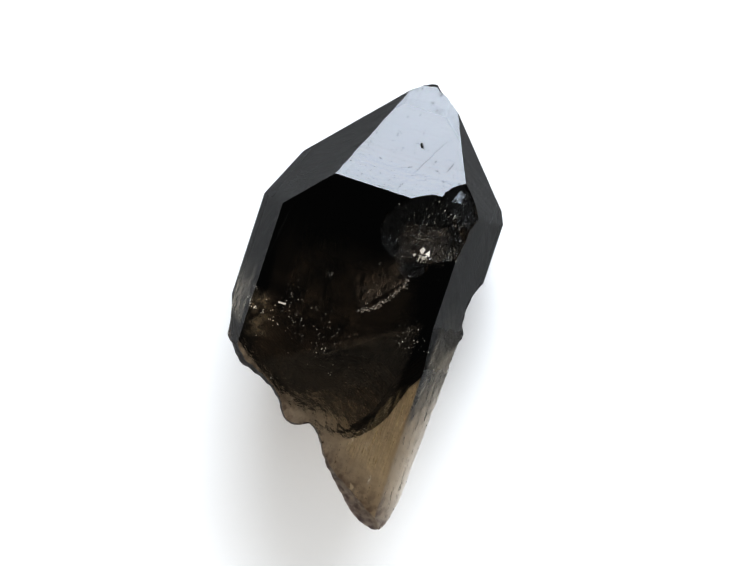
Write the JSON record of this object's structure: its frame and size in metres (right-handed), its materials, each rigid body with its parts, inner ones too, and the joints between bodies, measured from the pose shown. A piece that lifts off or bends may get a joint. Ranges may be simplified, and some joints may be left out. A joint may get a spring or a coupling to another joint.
{
  "type": "smoky quartz crystal",
  "caption": "A single natural smoky quartz crystal, dark brown and glassy, with a pointed end and a broken, undercut end that thins to a paler wedge.",
  "frame": {"origin": "The middle of the crystal's bounding box, at the bottom, which is the plane of the broad back face that it lies on.", "axes": "+Y runs along the crystal's long axis towards its point, +Z is the outward normal of the broad front face, and +X is to the right when the front face is seen with the point up."},
  "size_m": [0.034, 0.0634, 0.018],
  "materials": {
    "smoky_quartz": "polished natural crystal faces, rough where broken"
  },
  "bodies": {
    "root": {"crystal": "smoky_quartz"}
  },
  "joints": []
}
